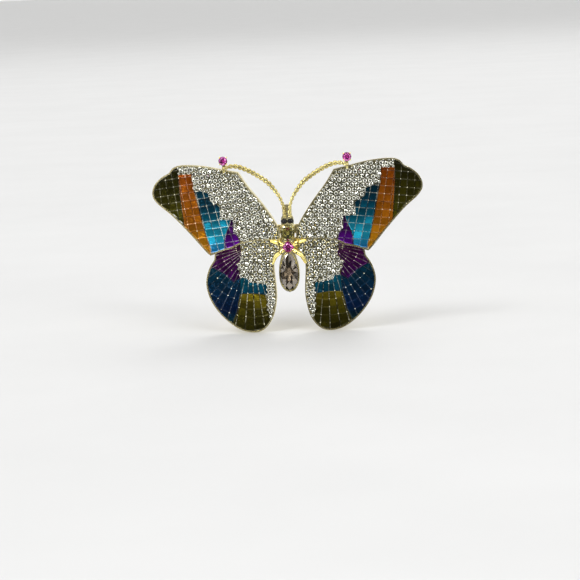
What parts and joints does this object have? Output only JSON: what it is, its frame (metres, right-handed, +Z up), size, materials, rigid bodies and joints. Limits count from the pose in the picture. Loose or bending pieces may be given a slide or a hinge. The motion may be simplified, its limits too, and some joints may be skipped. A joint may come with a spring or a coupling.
{
  "type": "tie tack",
  "caption": "Butterfly tie tack with enamel and crystal wings, pinned through cloth by sharp posts and held by spring ball-lock clutches.",
  "frame": {"origin": "on the body's axis, level with the tack posts, on the plane where the post pads meet the cloth", "axes": "+X to the viewer's right along the wingspan, +Y from the front to the back, along the posts, +Z up as worn"},
  "size_m": [0.0598, 0.0193, 0.0395],
  "materials": {
    "gold_plate": "polished gold plate",
    "clear_crystal": "faceted, clear with a mirror-like foil back",
    "olive_enamel": "glossy translucent enamel over a ribbed ground",
    "orange_enamel": "glossy translucent enamel over a ribbed ground",
    "teal_enamel": "glossy translucent enamel over a ribbed ground",
    "purple_enamel": "glossy translucent enamel over a ribbed ground",
    "blue_enamel": "glossy translucent enamel over a ribbed ground",
    "olive_glass": "faceted smoky olive-brown glass",
    "magenta_glass": "faceted magenta glass",
    "black_glass": "glossy black bead",
    "spring_steel": "bright hardened steel"
  },
  "bodies": {
    "root": {"forewing_frame_l": "gold_plate", "hindwing_frame_l": "gold_plate", "antenna_l": "gold_plate", "post_pad_l": "gold_plate", "tack_post_l": "gold_plate", "forewing_crystals_l": "clear_crystal", "hindwing_crystals_l": "clear_crystal", "forewing_olive_enamel_l": "olive_enamel", "forewing_orange_enamel_l": "orange_enamel", "forewing_teal_enamel_l": "teal_enamel", "forewing_purple_enamel_l": "purple_enamel", "hindwing_purple_enamel_l": "purple_enamel", "hindwing_blue_enamel_l": "blue_enamel", "hindwing_teal_enamel_l": "teal_enamel", "hindwing_olive_enamel_l": "olive_enamel", "antenna_stone_l": "magenta_glass", "eye_l": "black_glass", "forewing_frame_r": "gold_plate", "hindwing_frame_r": "gold_plate", "antenna_r": "gold_plate", "post_pad_r": "gold_plate", "tack_post_r": "gold_plate", "forewing_crystals_r": "clear_crystal", "hindwing_crystals_r": "clear_crystal", "forewing_olive_enamel_r": "olive_enamel", "forewing_orange_enamel_r": "orange_enamel", "forewing_teal_enamel_r": "teal_enamel", "forewing_purple_enamel_r": "purple_enamel", "hindwing_purple_enamel_r": "purple_enamel", "hindwing_blue_enamel_r": "blue_enamel", "hindwing_teal_enamel_r": "teal_enamel", "hindwing_olive_enamel_r": "olive_enamel", "antenna_stone_r": "magenta_glass", "eye_r": "black_glass", "body_casting": "gold_plate", "wing_bridge": "gold_plate", "thorax_stone": "olive_glass", "waist_stone": "magenta_glass", "abdomen_stone": "clear_crystal"},
    "clutch_l": {"clutch_front_plate_l": "gold_plate", "clutch_housing_l": "gold_plate", "clutch_spring_l": "spring_steel"},
    "knob_l": {"clutch_chuck_l": "gold_plate", "clutch_ball_l_1": "spring_steel", "clutch_ball_l_2": "spring_steel", "clutch_ball_l_3": "spring_steel"},
    "clutch_r": {"clutch_front_plate_r": "gold_plate", "clutch_housing_r": "gold_plate", "clutch_spring_r": "spring_steel"},
    "knob_r": {"clutch_chuck_r": "gold_plate", "clutch_ball_r_1": "spring_steel", "clutch_ball_r_2": "spring_steel", "clutch_ball_r_3": "spring_steel"}
  },
  "joints": [
    {"name": "clutch_slide_l", "type": "slide", "parent": "root", "child": "clutch_l", "axis": [0, 1, 0], "range_m": [0, 0.012]},
    {"name": "knob_pull_l", "type": "slide", "parent": "clutch_l", "child": "knob_l", "axis": [0, 1, 0], "range_m": [0, 0.0009], "stiffness_N_per_m": 600, "springref_m": -0.002, "deforming": ["clutch_spring_l"]},
    {"name": "clutch_slide_r", "type": "slide", "parent": "root", "child": "clutch_r", "axis": [0, 1, 0], "range_m": [0, 0.012]},
    {"name": "knob_pull_r", "type": "slide", "parent": "clutch_r", "child": "knob_r", "axis": [0, 1, 0], "range_m": [0, 0.0009], "stiffness_N_per_m": 600, "springref_m": -0.002, "deforming": ["clutch_spring_r"]}
  ]
}
